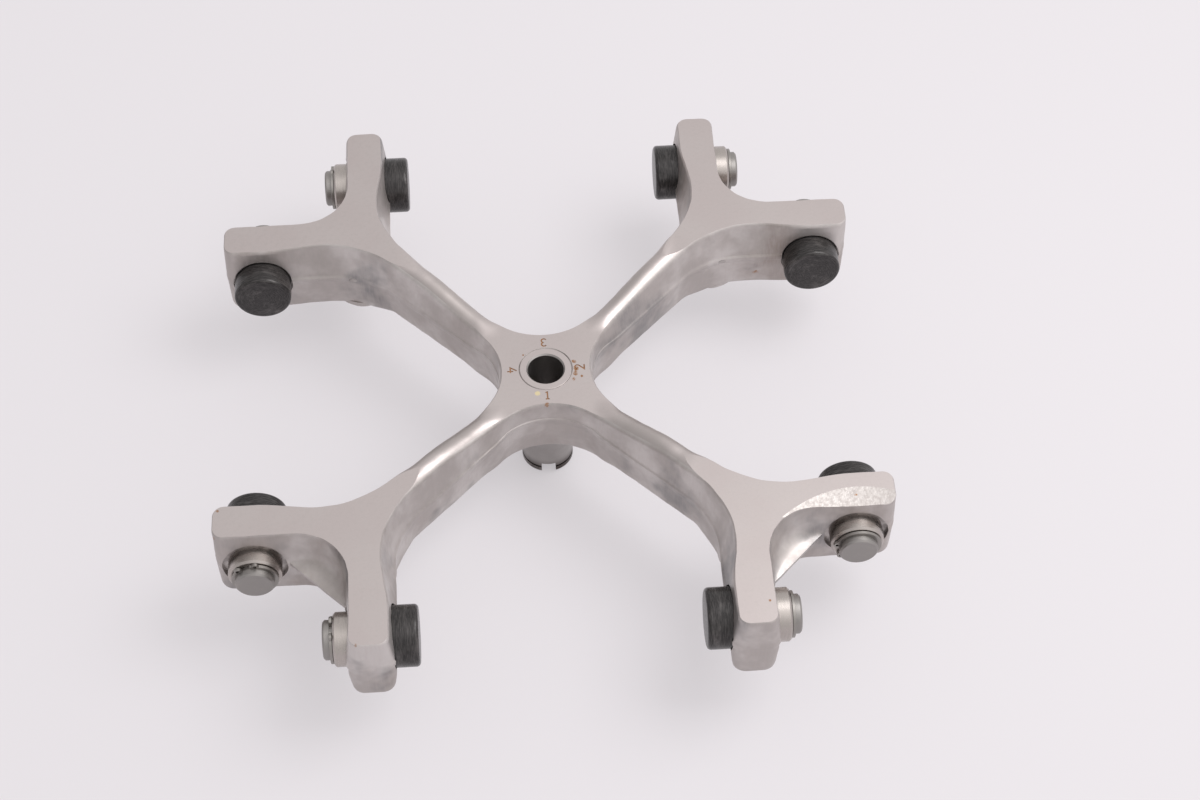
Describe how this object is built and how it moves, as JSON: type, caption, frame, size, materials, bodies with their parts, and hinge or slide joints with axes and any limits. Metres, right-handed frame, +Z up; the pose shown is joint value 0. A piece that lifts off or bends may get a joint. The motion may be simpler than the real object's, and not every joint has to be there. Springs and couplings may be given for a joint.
{
  "type": "swing-out centrifuge rotor",
  "caption": "Swing-out rotor: a forged cross of forked arms on a drive tube, with turning trunnion pins that carry swinging buckets.",
  "frame": {"origin": "middle of the drive tube's foot, on the spin axis", "axes": "+Z up along the spin axis; bay 1 faces -Y, bay 2 +X, bay 3 +Y and bay 4 -X"},
  "size_m": [0.2674, 0.2674, 0.0642],
  "materials": {
    "forged_steel": "warm grey forged steel, pads machined flat",
    "drive_tube_steel": "turned steel",
    "pin_steel": "black oxide head with fine turning marks, ground grey shank",
    "bush_steel": "bright turned, slightly warm",
    "spring_steel": "plated spring steel"
  },
  "bodies": {
    "yoke": {"yoke": "forged_steel", "drive_tube": "drive_tube_steel", "bush_1_left": "bush_steel", "bush_1_right": "bush_steel", "bush_2_left": "bush_steel", "bush_2_right": "bush_steel", "bush_3_left": "bush_steel", "bush_3_right": "bush_steel", "bush_4_left": "bush_steel", "bush_4_right": "bush_steel"},
    "pin_1_left": {"trunnion_pin_1_left": "pin_steel", "retaining_ring_1_left": "spring_steel"},
    "pin_1_right": {"trunnion_pin_1_right": "pin_steel", "retaining_ring_1_right": "spring_steel"},
    "pin_2_left": {"trunnion_pin_2_left": "pin_steel", "retaining_ring_2_left": "spring_steel"},
    "pin_2_right": {"trunnion_pin_2_right": "pin_steel", "retaining_ring_2_right": "spring_steel"},
    "pin_3_left": {"trunnion_pin_3_left": "pin_steel", "retaining_ring_3_left": "spring_steel"},
    "pin_3_right": {"trunnion_pin_3_right": "pin_steel", "retaining_ring_3_right": "spring_steel"},
    "pin_4_left": {"trunnion_pin_4_left": "pin_steel", "retaining_ring_4_left": "spring_steel"},
    "pin_4_right": {"trunnion_pin_4_right": "pin_steel", "retaining_ring_4_right": "spring_steel"}
  },
  "joints": [
    {"name": "pin_1_left_turn", "type": "hinge", "parent": "yoke", "child": "pin_1_left", "pos_m": [-0.0733, -0.118, 0.046], "axis": [1, 0, 0], "continuous": true},
    {"name": "pin_1_right_turn", "type": "hinge", "parent": "yoke", "child": "pin_1_right", "pos_m": [0.0733, -0.118, 0.046], "axis": [-1, 0, 0], "continuous": true},
    {"name": "pin_2_left_turn", "type": "hinge", "parent": "yoke", "child": "pin_2_left", "pos_m": [0.118, -0.0733, 0.046], "axis": [0, 1, 0], "continuous": true},
    {"name": "pin_2_right_turn", "type": "hinge", "parent": "yoke", "child": "pin_2_right", "pos_m": [0.118, 0.0733, 0.046], "axis": [0, -1, 0], "continuous": true},
    {"name": "pin_3_left_turn", "type": "hinge", "parent": "yoke", "child": "pin_3_left", "pos_m": [0.0733, 0.118, 0.046], "axis": [-1, 0, 0], "continuous": true},
    {"name": "pin_3_right_turn", "type": "hinge", "parent": "yoke", "child": "pin_3_right", "pos_m": [-0.0733, 0.118, 0.046], "axis": [1, 0, 0], "continuous": true},
    {"name": "pin_4_left_turn", "type": "hinge", "parent": "yoke", "child": "pin_4_left", "pos_m": [-0.118, 0.0733, 0.046], "axis": [0, -1, 0], "continuous": true},
    {"name": "pin_4_right_turn", "type": "hinge", "parent": "yoke", "child": "pin_4_right", "pos_m": [-0.118, -0.0733, 0.046], "axis": [0, 1, 0], "continuous": true}
  ]
}
